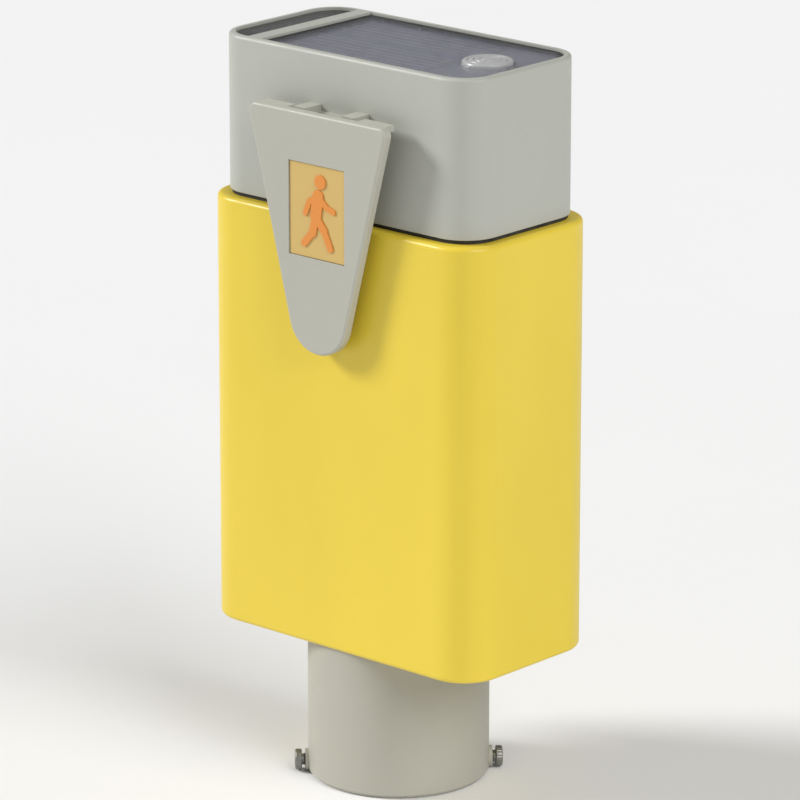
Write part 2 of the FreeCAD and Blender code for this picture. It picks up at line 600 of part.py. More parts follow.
def paddle_blank():
    """A tapered plate: a straight top edge, two straight sides and a round tip they run into."""
    body = doc.addObject("PartDesign::Body", "paddle_plate")
    sketch = body_sketch(body, "paddle_outline", "XZ_Plane")
    seam = size["tube_length"] + size["body_height"]
    half, top, radius = size["paddle_half"], seam + size["paddle_rise"], size["tip_radius"]
    middle = seam - size["tip_drop"] + radius
    reach = math.hypot(half, top - middle)
    tangent = math.atan2(top - middle, half) - math.acos(radius / reach)
    near = FreeCAD.Vector(radius * math.cos(tangent), middle + radius * math.sin(tangent), 0)
    far = FreeCAD.Vector(-near.x, near.y, 0)
    left, right = FreeCAD.Vector(-half, top, 0), FreeCAD.Vector(half, top, 0)
    tip = Part.Circle(FreeCAD.Vector(0, middle, 0), Z_AXIS, radius)
    sketch.addGeometry([
        Part.LineSegment(left, right), Part.LineSegment(right, near),
        Part.ArcOfCircle(tip, math.pi - tangent, 2 * math.pi + tangent), Part.LineSegment(far, left),
    ])
    for first, first_end, second, second_end in ((0, 2, 1, 1), (3, 2, 0, 1)):
        sketch.addConstraint(Sketcher.Constraint("Coincident", first, first_end, second, second_end))
    sketch.addConstraint(Sketcher.Constraint("Tangent", 1, 2, 2, 2))
    sketch.addConstraint(Sketcher.Constraint("Tangent", 2, 1, 3, 1))
    sketch.addConstraint(Sketcher.Constraint("PointOnObject", 2, 3, -2))
    sketch.addConstraint(Sketcher.Constraint("Symmetric", 0, 1, 0, 2, -2))
    tie(sketch, "Radius", 2, formula="tip_radius")
    tie(sketch, "DistanceY", -1, 1, 2, 3, formula=TIP_MIDDLE)
    tie(sketch, "DistanceY", -1, 1, 0, 1, formula=PADDLE_TOP)
    tie(sketch, "DistanceX", 0, 1, 0, 2, formula="2 * paddle_half")
    pad = body.newObject("PartDesign::Pad", "paddle_pad")
    pad.Profile = sketch
    pad.setExpression("Length", link("paddle_sheet"))
    doc.recompute()
    top_corners = [f"Edge{number}" for number, edge in enumerate(pad.Shape.Edges, 1)
                   if edge.Length < size["paddle_sheet"] + 0.01 and edge.CenterOfMass.z > top - 1]
    corners = body.newObject("PartDesign::Fillet", "paddle_corners")
    corners.Base = (pad, top_corners)
    corners.setExpression("Radius", link("paddle_corner"))
    doc.recompute()
    front = min(vertex.Y for vertex in pad.Shape.Vertexes)
    round_edges(body, "paddle_front", lambda point: abs(point.y - front) < 1e-6, "paddle_round")
    return place(body, ("0", PADDLE_BACK, "0"))


def paddle():
    """The plate with its knuckle, two ribs, two lips along the top and a recess for the badge."""
    pieces = [paddle_blank()]
    pieces.append(rod("knuckle_round", "knuckle_radius", "2 * knuckle_half",
                      ("-knuckle_half", PIN_Y, PIN_Z), TURN["x"]))
    pieces.append(block("knuckle_web", "2 * knuckle_half", "pin_back + 0.5", "2 * knuckle_radius",
                        ("0", f"({PADDLE_BACK} - 0.5 + {PIN_Y}) / 2", f"{PIN_Z} - knuckle_radius")))
    for side in ("", "-"):
        pieces.append(block(f"paddle_rib{side}", "rib_sheet", "rib_reach + 0.5", RIB_LENGTH,
                            (f"{side}(ear_start + ear_width / 2)",
                             f"{PADDLE_BACK} - 0.5 + (rib_reach + 0.5) / 2", TIP_MIDDLE)))
        lip_end = "(paddle_half - paddle_corner - 0.5)"
        pieces.append(block(f"paddle_lip{side}", f"{lip_end} - lip_start", "lip_depth + 0.5", "lip_sheet",
                            (f"{side}({lip_end} + lip_start) / 2",
                             f"{PADDLE_BACK} + (lip_depth - 0.5) / 2", f"{PADDLE_TOP} - lip_sheet")))
    recess = block("badge_recess", "badge_length", "badge_depth + 4", "badge_height",
                   ("0", f"{PADDLE_FRONT} + badge_depth / 2 - 2", f"{BADGE_Z} - badge_height / 2"))
    bore = rod("knuckle_bore", "pin_radius + pin_gap", "2 * knuckle_half + 2",
               ("-knuckle_half - 1", PIN_Y, PIN_Z), TURN["x"])
    part(cut("paddle", fuse("paddle_rough", pieces), [recess, bore]))


def capsule(name, start, end, radius):
    """A bar with round ends, lying on the badge: two points across and up, and half its width."""
    back = f"{PADDLE_FRONT} + badge_depth - badge_sheet"
    depth = "figure_sheet"
    run = math.hypot(end[0] - start[0], end[1] - start[1])
    lean = math.degrees(math.atan2(end[0] - start[0], end[1] - start[1]))
    ends = [rod(f"{name}_{which}", str(radius), depth, (str(point[0]), back, f"{BADGE_Z} + ({point[1]})"),
                TURN["-y"]) for which, point in (("start", start), ("end", end))]
    bar = doc.addObject("Part::Box", f"{name}_bar")
    bar.Length, bar.Height = 2 * radius, run
    bar.setExpression("Width", link(depth))
    turn = FreeCAD.Rotation(Y_AXIS, lean)
    corner = turn.multVec(FreeCAD.Vector(-radius, 0, 0))
    place(bar, (str(start[0] + corner.x), f"{back} - {depth}", f"{BADGE_Z} + ({start[1] + corner.z})"), turn)
    return ends + [bar]


def badge():
    """A thin plate in the paddle's recess, with a plain raised walking figure."""
    middle = f"{PADDLE_FRONT} + badge_depth - badge_sheet / 2"
    part(block("badge_plate", "badge_length - 0.4", "badge_sheet", "badge_height - 0.4",
               ("0", middle, f"{BADGE_Z} - badge_height / 2 + 0.2")))
    hip, shoulder = (-0.4, -1.6), (0.8, 6.2)
    front_knee, rear_knee, front_elbow, rear_elbow = (3.8, -6.6), (-2.0, -8.0), (5.2, 2.4), (-3.6, 3.6)
    limbs = (
        ("torso", hip, shoulder, 2.6), ("front_thigh", hip, front_knee, 1.7),
        ("front_shin", front_knee, (6.8, -12.8), 1.4), ("rear_thigh", hip, rear_knee, 1.7),
        ("rear_shin", rear_knee, (-6.2, -12.6), 1.4), ("front_arm", shoulder, front_elbow, 1.2),
        ("front_hand", front_elbow, (8.4, 1.4), 1.1), ("rear_arm", shoulder, rear_elbow, 1.2),
        ("rear_hand", rear_elbow, (-5.6, -1.0), 1.1),
    )
    pieces = [rod("figure_head", "2.7", "figure_sheet",
                  ("1.9", f"{PADDLE_FRONT} + badge_depth - badge_sheet", f"{BADGE_Z} + 11.8"), TURN["-y"])]
    for name, start, end, radius in limbs:
        pieces.extend(capsule(name, start, end, radius))
    part(fuse("walking_figure", pieces))


def hinge():
    """Bracket on the cap's face, with an ear each side of the knuckle, its pin, clips, screws and nuts."""
    plate_y = f"{CAP_FRONT} - bracket_sheet / 2"
    pieces = [block("bracket_base", "bracket_length", "bracket_sheet", "13",
                    ("0", plate_y, f"{PIN_Z} - 6.5"))]
    tools, screws, nuts, clips = [], [], [], []
    ear_front = f"({PADDLE_BACK} + 0.6)"
    for side in ("", "-"):
        middle = f"{side}(ear_start + ear_width / 2)"
        pieces.append(block(f"ear{side}", "ear_width", f"{CAP_FRONT} - {ear_front}", "ear_rise + 4",
                            (middle, f"({CAP_FRONT} + {ear_front}) / 2", f"{PIN_Z} - 4")))
        across = f"{side}(bracket_screw_offset)"
        tools.append(rod(f"bracket_bore{side}", "1.7", "bracket_sheet + 2",
                         (across, f"{CAP_FRONT} - bracket_sheet - 1", PIN_Z), TURN["y"]))
        screws.append(screw(f"bracket_screw{side}", "2.7", "1.6", "1.5", "bracket_sheet + cap_wall + 3",
                            (across, f"{CAP_FRONT} - bracket_sheet", PIN_Z), TURN["-y"]))
        nut_seat = (across, f"-{CAP_INNER}", PIN_Z)
        nut = hexagon(f"bracket_nut{side}_solid", "3.1", "2.4", nut_seat, TURN["y"])
        nut_bore = rod(f"bracket_nut{side}_bore", "1.5 + seat_gap", "2.4", nut_seat, TURN["y"])
        nuts.append(cut(f"bracket_nut{side}", nut, [nut_bore]))
        clip_x = f"{side}(ear_start + ear_width + 0.5)"
        clip = rod(f"pin_clip{side}_disc", "pin_radius + 1.1", "0.6", (f"{clip_x} - 0.3", PIN_Y, PIN_Z),
                   TURN["x"])
        clip_bore = rod(f"pin_clip{side}_bore", "pin_radius + seat_gap", "0.6",
                        (f"{clip_x} - 0.3", PIN_Y, PIN_Z), TURN["x"])
        clips.append(cut(f"pin_clip{side}", clip, [clip_bore]))
    pin_half = "(ear_start + ear_width + 1.4)"
    tools.append(rod("bracket_pin_bore", "pin_radius + seat_gap", f"2 * {pin_half}",
                     (f"-{pin_half}", PIN_Y, PIN_Z), TURN["x"]))
    part(cut("hinge_bracket", fuse("bracket_rough", pieces), tools))
    part(rod("hinge_pin", "pin_radius", f"2 * {pin_half}", (f"-{pin_half}", PIN_Y, PIN_Z), TURN["x"]))
    part(group("pin_clips", clips))
    part(group("bracket_screws", screws))
    part(group("bracket_nuts", nuts))


# ------------------------------------------------------------------ plunger and switch

def plunger_set():
    """Plunger, the bush it slides in, the nut that holds the bush, the boot and the return spring."""
    along_y = TURN["y"]
    height = PLUNGER_Z
    outline = [
        ("0", "0.15"), ("3.6", "0.15"), ("5", "0.6"), ("5", "1.1"), ("plunger_radius", "1.1"),
        ("plunger_radius", COLLAR_START), ("5", COLLAR_START), ("5", f"{COLLAR_START} + 1.4"),
        ("plunger_radius", f"{COLLAR_START} + 1.4"), ("plunger_radius", PLUNGER_END), ("0", PLUNGER_END),
    ]
    part(turned("plunger", outline, ("0", PADDLE_BACK, height), along_y))
    bush = [
        ("plunger_radius + slide_gap", "-flange_sheet"), ("bush_flange", "-flange_sheet"),
        ("bush_flange", "0"), ("bush_radius", "0"), ("bush_radius", "body_wall + 2.4"),
        ("plunger_radius + slide_gap", "body_wall + 2.4"),
    ]
    part(turned("plunger_bush", bush, ("0", BODY_FRONT, height), along_y))
    nut_seat = ("0", INNER_FRONT, height)
    nut = hexagon("bush_nut_solid", "10.4", "2.2", nut_seat, along_y)
    nut_bore = rod("bush_nut_bore", "bush_radius + seat_gap", "2.2", nut_seat, along_y)
    part(cut("bush_nut", nut, [nut_bore]))
    boot = [
        ("plunger_radius + 0.4", "1.2"), ("4.8", "1.2"), ("6", "1.9"), ("5.2", BOOT_MIDDLE), ("6", BOOT_LOW),
        ("5.6", BOOT_END), ("plunger_radius + 0.4", BOOT_END),
    ]
    part(turned("plunger_boot", boot, ("0", PADDLE_BACK, height), along_y))
    part(return_spring())


def return_spring():
    """A coil spring round the plunger, from its collar to the switch plate."""
    front = -size["body_depth"] / 2
    start = front + size["body_wall"] + 4 + size["wire_radius"]
    end = front + size["plate_back"] - size["wire_radius"] - 0.05
    turns = 5
    helix = Part.makeHelix((end - start) / turns, end - start, size["spring_radius"])
    circle = Part.Circle(FreeCAD.Vector(size["spring_radius"], 0, 0), Y_AXIS, size["wire_radius"])
    section = Part.Wire(circle.toShape())
    spring = doc.addObject("Part::Feature", "return_spring")
    spring.Shape = Part.Wire(helix).makePipeShell([section], True, True)
    height = size["tube_length"] + size["body_height"] - size["plunger_drop"]
    spring.Placement = FreeCAD.Placement(FreeCAD.Vector(0, start, height), TURN["y"])
    return spring


def switch_set():
    """Switch plate on two pillars, its screws, the switch behind it and the button the plunger pushes."""
    height = PLUNGER_Z
    plate_y = f"{SWITCH_PLATE_Y} + plate_sheet / 2"
    plate = block("switch_plate_blank", "42", "plate_sheet", "20", ("0", plate_y, f"{height} - 10"))
    along_y = TURN["y"]
    holes = [rod("switch_plate_hole", "plunger_radius + 0.4", "plate_sheet",
                 ("0", SWITCH_PLATE_Y, height), along_y)]
    pillars, screws = [], []
    for side in ("", "-"):
        across = f"{side}(pillar_offset)"
        plate_front = (across, SWITCH_PLATE_Y, height)
        holes.append(rod(f"plate_screw_hole{side}", "1.7", "plate_sheet", plate_front, along_y))
        pillar = rod(f"pillar{side}_solid", "3.2", f"{SWITCH_PLATE_Y} - {INNER_FRONT}",
                     (across, INNER_FRONT, height), along_y)
        thread = rod(f"pillar{side}_thread", "1.5 + seat_gap", "9",
                     (across, f"{SWITCH_PLATE_Y} - 9", height), along_y)
        pillars.append(cut(f"pillar{side}", pillar, [thread]))
        screws.append(screw(f"switch_screw{side}", "2.7", "1.8", "1.5", "plate_sheet + 7",
                            (across, SWITCH_Y, height), along_y))
    part(cut("switch_plate", plate, holes))
    part(group("switch_pillars", pillars))
    part(group("switch_screws", screws))
    block_depth = "18.5"
    body = block("switch_block", "19", block_depth, "17",
                 ("0", f"{SWITCH_Y} + {block_depth} / 2", f"{height} - 8.5"))
    nose = rod("switch_nose", "4.2", "2.7", ("0", SWITCH_Y, height), along_y)
    bore = rod("switch_bore", "button_radius + slide_gap", "12.6", ("0", SWITCH_Y, height), along_y)
    part(cut("limit_switch", body, [nose, bore]))
    part(rod("switch_button", "button_radius", "9.6",
             ("0", f"{PADDLE_BACK} + {PLUNGER_END} + 0.1", height), along_y))


# ------------------------------------------------------------------ power and electronics

def battery():
    """Four cells standing in a row between a tray and a clamp, held by two rods with nuts."""
    row_y = f"({INNER_FRONT} + cell_pitch / 2 + 10)"
    tray_z = f"{PLATE_TOP} + 6"
    cells_z = f"({tray_z} + 3)"
    clamp_z = f"({cells_z} + cell_length)"
    rod_x = "(2 * cell_pitch + 5)"
    long, deep = f"2 * {rod_x} + 10", "cell_pitch + 4"
    tray_blank = slab("battery_tray_blank", long, deep, "3", "5", ("0", row_y, tray_z))
    clamp_blank = slab("battery_clamp_blank", long, deep, "3", "5", ("0", row_y, clamp_z))
    rods, nuts, tray_tools, clamp_tools = [], [], [], []
    for side in ("", "-"):
        across = f"{side}{rod_x}"
        rods.append(rod(f"battery_rod{side}", "2", f"{clamp_z} + 3 + 6 - {PLATE_TOP}",
                        (across, row_y, PLATE_TOP)))
        tray_tools.append(rod(f"tray_hole{side}", "2 + seat_gap", "3", (across, row_y, tray_z)))
        clamp_tools.append(rod(f"clamp_hole{side}", "2 + seat_gap", "3", (across, row_y, clamp_z)))
        for level, foot in (("low", PLATE_TOP), ("high", f"{clamp_z} + 3")):
            nut = hexagon(f"rod_nut_{level}{side}_solid", "4", "3.2", (across, row_y, foot))
            nut_bore = rod(f"rod_nut_{level}{side}_bore", "2 + seat_gap", "3.2", (across, row_y, foot))
            nuts.append(cut(f"rod_nut_{level}{side}", nut, [nut_bore]))
    cells = []
    for column in range(4):
        across = f"cell_pitch * {column - 1.5}"
        can = rod(f"battery_{column}_can", "cell_radius", "cell_length - 1.5", (across, row_y, cells_z))
        button = rod(f"battery_{column}_button", "2.7", "1.5", (across, row_y, f"{clamp_z} - 1.5"))
        cells.append(fuse(f"battery_{column}", [can, button]))
    part(cut("battery_tray", tray_blank, tray_tools))
    part(cut("battery_clamp", clamp_blank, clamp_tools))
    part(group("battery_cells", cells))
    part(group("battery_rods", rods))
    part(group("battery_nuts", nuts))


def circuit_board():
    """The main board on four pillars at the back wall, with what is soldered to it."""
    back = "(body_depth / 2 - body_wall)"
    board_y = f"({back} - 8 - board_sheet)"
    foot = f"({SEAM_Z} - 76)"
    board = block("board_blank", "88", "board_sheet", "62", ("0", f"{board_y} + board_sheet / 2", foot))
    holes, pillars, screws = [], [], []
    for number, (across, up) in enumerate(corners_of("40", "27")):
        spot = f"{foot} + 31 + ({up})"
        front, rear = (across, board_y, spot), (across, f"{board_y} + board_sheet", spot)
        holes.append(rod(f"board_hole_{number}", "1.7", "board_sheet", front, TURN["y"]))
        pillar = rod(f"board_pillar_{number}_solid", "3", "8", rear, TURN["y"])
        thread = rod(f"board_pillar_{number}_thread", "1.5 + seat_gap", "6", rear, TURN["y"])
        pillars.append(cut(f"board_pillar_{number}", pillar, [thread]))
        screws.append(screw(f"board_screw_{number}", "2.7", "1.8", "1.5", "board_sheet + 5",
                            front, TURN["-y"]))
    part(cut("circuit_board", board, holes))
    part(group("board_pillars", pillars))
    part(group("board_screws", screws))
    # name, length, depth, height, middle across, foot above the board's lower edge
    chips = (
        ("processor", 14, 1.8, 14, -8, 30), ("radio_module", 18, 3, 24, 24, 26),
        ("memory", 8, 1.6, 6, -8, 46), ("terminals", 30, 8, 9, -20, 3),
        ("charger", 10, 2.2, 10, -30, 32), ("coil", 9, 5, 9, -30, 20),
    )
    boxes = [block(name, str(length), str(depth), str(height),
                   (str(across), f"{board_y} - {depth / 2}", f"{foot} + {up}"))
             for name, length, depth, height, across, up in chips]
    for number in range(3):
        boxes.append(rod(f"capacitor_{number}", "4", "11", (f"{8 + 10 * number}", board_y, f"{foot} + 12"),
                         TURN["-y"]))
    part(group("board_parts", boxes))
    case = rod("sounder_case", "8", "7", ("-24", board_y, f"{foot} + 53"), TURN["-y"])
    sound_hole = rod("sounder_hole", "1.6", "3", ("-24", f"{board_y} - 4", f"{foot} + 53"), TURN["-y"])
    part(cut("sounder", case, [sound_hole]))
    whip = [("0", "0"), ("3.2", "0"), ("3.2", "5"), ("2", "7"), ("2", "44"), ("0", "44")]
    part(turned("antenna", whip, ("20", f"{board_y} + board_sheet / 2", f"{foot} + 62")))


# ------------------------------------------------------------------ build and write

def main():
    base_tube()
    clamp_screws()
    tube_fixings()
    vent_plug()
    housing()
    cap()
    cap_fixings()
    solar_panel()
    signal_strip()
    status_lens()
    paddle()
    badge()
    hinge()
    plunger_set()
    switch_set()
    battery()
    circuit_board()
    doc.recompute()
    for obj in doc.Objects:
        if "Invalid" in obj.State or "Error" in obj.State:
            raise RuntimeError(f"{obj.Name} did not build: {obj.State}")
    os.makedirs("parts", exist_ok=True)
    for obj in parts:
        shape = obj.Shape
        if shape.isNull() or not shape.isValid() or not shape.Solids:
            raise RuntimeError(f"{obj.Label} is not a sound solid")
        shape.exportStep(f"parts/{obj.Label}.step")
        print(f"{obj.Label}: {len(shape.Solids)} solids, {shape.Volume / 1000:.2f} cm3")
    print(len(parts), "sub-parts")


main()
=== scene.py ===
import json
import math

import bmesh
import bpy
from mathutils import Matrix, Vector


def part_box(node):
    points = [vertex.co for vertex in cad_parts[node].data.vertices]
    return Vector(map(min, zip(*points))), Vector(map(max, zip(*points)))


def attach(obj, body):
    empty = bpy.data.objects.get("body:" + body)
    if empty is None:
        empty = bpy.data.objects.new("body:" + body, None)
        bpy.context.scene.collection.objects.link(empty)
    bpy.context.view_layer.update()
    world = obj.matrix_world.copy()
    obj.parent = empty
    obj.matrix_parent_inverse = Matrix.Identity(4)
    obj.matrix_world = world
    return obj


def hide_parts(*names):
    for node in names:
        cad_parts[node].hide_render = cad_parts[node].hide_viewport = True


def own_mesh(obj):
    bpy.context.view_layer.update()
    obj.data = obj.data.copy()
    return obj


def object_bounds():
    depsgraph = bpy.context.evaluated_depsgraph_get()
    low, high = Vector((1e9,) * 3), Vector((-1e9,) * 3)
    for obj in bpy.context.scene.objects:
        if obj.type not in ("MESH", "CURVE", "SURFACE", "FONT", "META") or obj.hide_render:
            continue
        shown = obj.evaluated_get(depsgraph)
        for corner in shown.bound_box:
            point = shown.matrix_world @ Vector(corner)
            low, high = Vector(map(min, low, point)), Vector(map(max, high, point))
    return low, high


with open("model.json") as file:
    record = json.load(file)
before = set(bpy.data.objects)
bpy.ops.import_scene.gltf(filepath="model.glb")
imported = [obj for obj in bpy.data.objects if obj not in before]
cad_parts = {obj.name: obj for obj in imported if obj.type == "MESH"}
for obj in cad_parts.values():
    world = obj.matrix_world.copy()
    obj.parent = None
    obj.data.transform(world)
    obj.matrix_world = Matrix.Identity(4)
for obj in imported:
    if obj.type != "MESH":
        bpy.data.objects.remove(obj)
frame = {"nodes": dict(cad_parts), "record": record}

# A push-to-cross unit for a pedestrian light, dressed around its CAD frame. Metres, +Z up,
# the paddle faces -Y, and the mouth of the base tube stands on the floor at z = 0.

MM = 0.001
DIAGONAL = math.sqrt(0.5)  # each part of a unit direction half way between X and Y
CAD_LOW, CAD_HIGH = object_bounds()

# ------------------------------------------------------------------ node graph helpers


class Graph:
    """One material's node tree, with short ways to add and join nodes."""

    def __init__(self, name):
        self.material = bpy.data.materials.new(name)
        self.material.use_nodes = True
        self.tree = self.material.node_tree
        self.shader = self.tree.nodes["Principled BSDF"]
        self.place = self.node("ShaderNodeTexCoord").outputs["Object"]

    def node(self, kind, **inputs):
        """Add a node. An input is a number or colour, or an output socket to join."""
        new = self.tree.nodes.new(kind)
        for key, value in inputs.items():
            self.feed(new, key.replace("_", " "), value)
        return new

    def feed(self, node, key, value):
        """Set or join one input. A key such as i0 is the input's index, any other its name."""
        socket = node.inputs[int(key[1:])] if key[0] == "i" and key[1:].isdigit() else node.inputs[key]
        if isinstance(value, bpy.types.NodeSocket):
            self.tree.links.new(value, socket)
        else:
            socket.default_value = value

    def set(self, **inputs):
        """Set or join inputs of the shader."""
        for key, value in inputs.items():
            self.feed(self.shader, key.replace("_", " "), value)

    def math(self, operation, first, second=0.0):
        node = self.node("ShaderNodeMath", i0=first, i1=second)
        node.operation = operation
        return node.outputs[0]

    def noise(self, size, detail=2.0, rough=0.5, stretch=None):
        """Soft noise, 0 to 1, whose grain is about size metres across; stretch scales each axis."""
        place = self.place
        if stretch:
            mapping = self.node("ShaderNodeMapping", Vector=place, Scale=stretch)
            place = mapping.outputs[0]
        noise = self.node("ShaderNodeTexNoise", Vector=place, Scale=1.0 / size, Detail=detail,
                          Roughness=rough)
        return noise.outputs["Fac"]

    def ramp(self, value, *stops):
        """Colour ramp: stops are (position, number or colour)."""
        node = self.node("ShaderNodeValToRGB", Fac=value)
        elements = node.color_ramp.elements
        while len(elements) < len(stops):
            elements.new(0.5)
        for element, (position, colour) in zip(elements, stops):
            element.position = position
            element.color = colour if isinstance(colour, tuple) else (colour, colour, colour, 1.0)
        return node.outputs["Color"]

    def mix(self, share, first, second):
        node = self.node("ShaderNodeMix")
        node.data_type = "RGBA"
        for index, value in ((0, share), (6, first), (7, second)):
            self.feed(node, f"i{index}", value)
        return node.outputs[2]

    def bump(self, *layers, soften=0.25 * MM):
        """Stack bumps on softened edges: each layer is (height socket, height in metres)."""
        bevel = self.node("ShaderNodeBevel", Radius=soften)
        bevel.samples = 4
        normal = bevel.outputs[0]
        for height, depth in layers:
            node = self.node("ShaderNodeBump", Height=height, Strength=1.0, Distance=depth, Normal=normal)
            normal = node.outputs["Normal"]
        self.set(Normal=normal)

    def edges(self, radius, grain):
        """A mask of edges, where the softened normal leaves the true one, broken up by noise."""
        bevel = self.node("ShaderNodeBevel", Radius=radius)
        bevel.samples = 4
        geometry = self.node("ShaderNodeNewGeometry")
        dot = self.node("ShaderNodeVectorMath", i0=bevel.outputs[0], i1=geometry.outputs["Normal"])
        dot.operation = "DOT_PRODUCT"
        bend = self.math("SUBTRACT", 1.0, dot.outputs["Value"])
        patchy = self.ramp(self.noise(grain, 4.0, 0.7), (0.42, 0.0), (0.62, 1.0))
        return self.math("MULTIPLY", self.ramp(bend, (0.01, 0.0), (0.12, 1.0)), patchy)


def rgb(red, green, blue):
    """A colour given as 0 to 255 display values, as the linear colour that shaders take."""
    def linear(value):
        value /= 255.0
        return value / 12.92 if value <= 0.04045 else ((value + 0.055) / 1.055) ** 2.4
    return (linear(red), linear(green), linear(blue), 1.0)


def shade(colour, factor):
    return tuple(min(1.0, channel * factor) for channel in colour[:3]) + (1.0,)


# ------------------------------------------------------------------ materials

def plastic(name, colour, rough=0.42, grain=0.5 * MM, depth=0.012 * MM, wear=0.35, dust=0.10, worn=None):
    """Moulded plastic: spark-eroded grain, faint flow mottling, dull handling marks and pale worn edges."""
    graph = Graph(name)
    flow = graph.noise(60 * MM, 3.0, 0.5, stretch=(1.0, 1.0, 0.35))
    patches = graph.noise(9 * MM, 5.0, 0.65)
    base = graph.mix(graph.ramp(flow, (0.35, 0.0), (0.7, 1.0)), shade(colour, 0.965), shade(colour, 1.025))
    base = graph.mix(graph.math("MULTIPLY", graph.ramp(patches, (0.5, 0.0), (0.8, 1.0)), dust), base,
                     shade(colour, 0.80))
    edge = graph.math("MULTIPLY", graph.edges(0.8 * MM, 2.2 * MM), wear)
    base = graph.mix(edge, base, worn or shade(colour, 1.22))
    scuffs = graph.noise(1.6 * MM, 3.0, 0.6, stretch=(0.18, 1.0, 1.0))
    dull = graph.math("MULTIPLY", graph.ramp(scuffs, (0.55, 0.0), (0.75, 1.0)), 0.16)
    handled = graph.math("MULTIPLY", graph.ramp(patches, (0.3, 0.0), (0.7, 1.0)), 0.10)
    uneven = graph.math("ADD", handled, dull)
    graph.set(Base_Color=base, Roughness=graph.math("ADD", uneven, rough - 0.05), IOR=1.49)
    graph.bump((graph.noise(90 * MM, 1.0), 0.25 * MM), (graph.noise(grain, 2.0, 0.6), depth))
    return graph.material


def rubber(name, colour):
    """Soft black rubber: fine sandy grain and a little bloom."""
    graph = Graph(name)
    bloom = graph.noise(4 * MM, 4.0, 0.6)
    graph.set(Base_Color=graph.mix(graph.ramp(bloom, (0.4, 0.0), (0.75, 0.35)), colour, rgb(96, 96, 94)),
              Roughness=graph.math("ADD", graph.math("MULTIPLY", bloom, 0.2), 0.62))
    graph.bump((graph.noise(0.25 * MM, 2.0), 0.02 * MM))
    return graph.material


def metal(name, colour, rough=0.28, brushed=(1.0, 1.0, 0.06), tarnish=0.35):
    """Plated or turned metal: fine directional scratches and dull, darker tarnish patches."""
    graph = Graph(name)
    lines = graph.noise(0.35 * MM, 3.0, 0.6, stretch=brushed)
    stain = graph.ramp(graph.noise(3 * MM, 4.0, 0.65), (0.45, 0.0), (0.75, 1.0))
    base = graph.mix(graph.math("MULTIPLY", stain, tarnish), colour, shade(colour, 0.45))
    graph.set(Base_Color=base, Metallic=1.0,
              Roughness=graph.math("ADD", graph.math("MULTIPLY", lines, 0.18),
                                   graph.math("ADD", graph.math("MULTIPLY", stain, 0.2), rough - 0.08)))
    graph.bump((lines, 0.008 * MM))
    return graph.material


def stripes(graph, axis, pitch, width):
    """A mask of fine parallel lines across one axis: 1 on a line, 0 between."""
    split = graph.node("ShaderNodeSeparateXYZ", Vector=graph.place)
    along = graph.math("DIVIDE", split.outputs[axis], pitch)
    saw = graph.math("FRACT", graph.math("ADD", along, 100.0))
    return graph.math("LESS_THAN", saw, width / pitch)


def silicon(name):
    """Solar cells: blue-grey crystal grains under fine silver fingers."""
    graph = Graph(name)
    grains = graph.node("ShaderNodeTexVoronoi", Vector=graph.place, Scale=1.0 / (3.4 * MM))
    grain = graph.ramp(grains.outputs["Color"], (0.2, 0.0), (0.8, 1.0))
    tint = graph.mix(grain, rgb(106, 108, 130), rgb(128, 130, 154))
    fingers = graph.math("MULTIPLY", stripes(graph, "X", 1.7 * MM, 0.16 * MM), 0.6)
    graph.set(Base_Color=graph.mix(fingers, tint, rgb(170, 170, 176)), Roughness=0.32)
    graph.bump((grains.outputs["Distance"], 0.01 * MM))
    return graph.material


def glass(name, colour, rough, ripple, alpha=1.0):
    """A clear or smoked pane with a faint ripple and fine dust. A lower alpha lets more light through."""
    graph = Graph(name)
    dust = graph.ramp(graph.noise(5 * MM, 5.0, 0.7), (0.5, 0.0), (0.85, 0.12))
    graph.set(Base_Color=colour, Transmission_Weight=1.0, IOR=1.5, Alpha=alpha,
              Roughness=graph.math("ADD", dust, rough))
    graph.bump((graph.noise(0.9 * MM, 2.0), ripple))
    return graph.material


def frosted(name, colour):
    """Diffusing lens plastic: milky, with soft scattering and a fine grain."""
    graph = Graph(name)
    haze = graph.noise(2.5 * MM, 4.0, 0.6)
    graph.set(Base_Color=graph.mix(haze, shade(colour, 0.92), shade(colour, 1.05)), Roughness=0.3,
              Transmission_Weight=0.15, Subsurface_Weight=0.25, Subsurface_Radius=(2 * MM, 2 * MM, 2 * MM),
              IOR=1.49)
    graph.bump((graph.noise(0.4 * MM, 2.0), 0.01 * MM))
    return graph.material


def board(name):
    """Circuit board: green mask over faint copper tracks, with scattered tinned pads."""
    graph = Graph(name)
    across, upright = stripes(graph, "X", 4.1 * MM, 0.5 * MM), stripes(graph, "Z", 5.3 * MM, 0.5 * MM)
    tracks = graph.math("MAXIMUM", across, upright)
    pads = graph.node("ShaderNodeTexVoronoi", Vector=graph.place, Scale=1.0 / (3.1 * MM))
    pad = graph.math("LESS_THAN", pads.outputs["Distance"], 0.16)
    green = graph.mix(graph.math("MULTIPLY", tracks, 0.5), rgb(20, 84, 44), rgb(46, 122, 66))
    graph.set(Base_Color=graph.mix(pad, green, rgb(190, 190, 184)), Roughness=0.35)
    graph.bump((tracks, 0.03 * MM))
    return graph.material


CAP_COLOUR = rgb(178, 179, 170)
TUBE_COLOUR = rgb(176, 174, 162)
PADDLE_COLOUR = rgb(178, 177, 165)
YELLOW = rgb(230, 203, 62)

